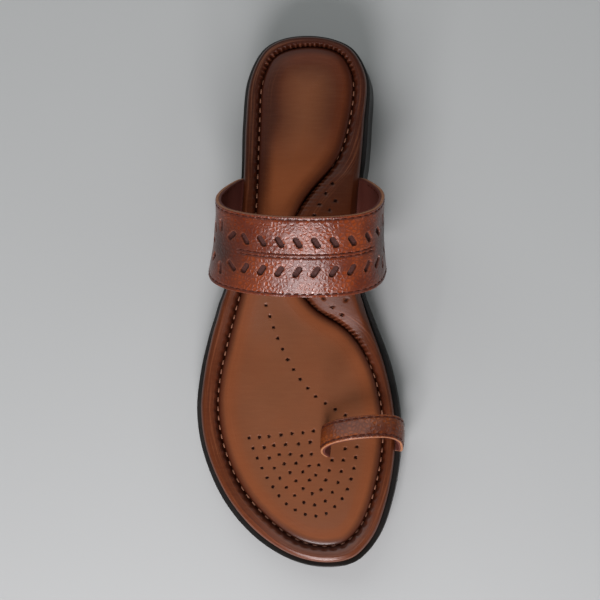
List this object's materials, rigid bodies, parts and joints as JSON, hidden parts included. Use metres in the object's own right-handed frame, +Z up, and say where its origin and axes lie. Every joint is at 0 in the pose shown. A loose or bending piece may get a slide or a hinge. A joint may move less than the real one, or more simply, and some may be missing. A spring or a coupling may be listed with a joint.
{
  "type": "flat sandal",
  "caption": "Flat slip-on sandal for the right foot: low-heeled outsole, padded stitched footbed, broad punched instep band and a loop for the big toe.",
  "frame": {"origin": "on the floor, under the centre of the bounding box", "axes": "+Z up from the floor, +Y from the toe to the heel along the sole, +X across to the big-toe side"},
  "size_m": [0.0988, 0.2498, 0.0764],
  "materials": {
    "outsole": "smooth satin black",
    "footbed": "smooth waxed brown with darker burnished seams",
    "instep_band": "pebbled red-brown with a polished sheen",
    "toe_loop": "pebbled red-brown with a polished sheen"
  },
  "bodies": {
    "root": {"outsole": "outsole", "footbed": "footbed", "instep_band": "instep_band", "toe_loop": "toe_loop"}
  },
  "joints": []
}
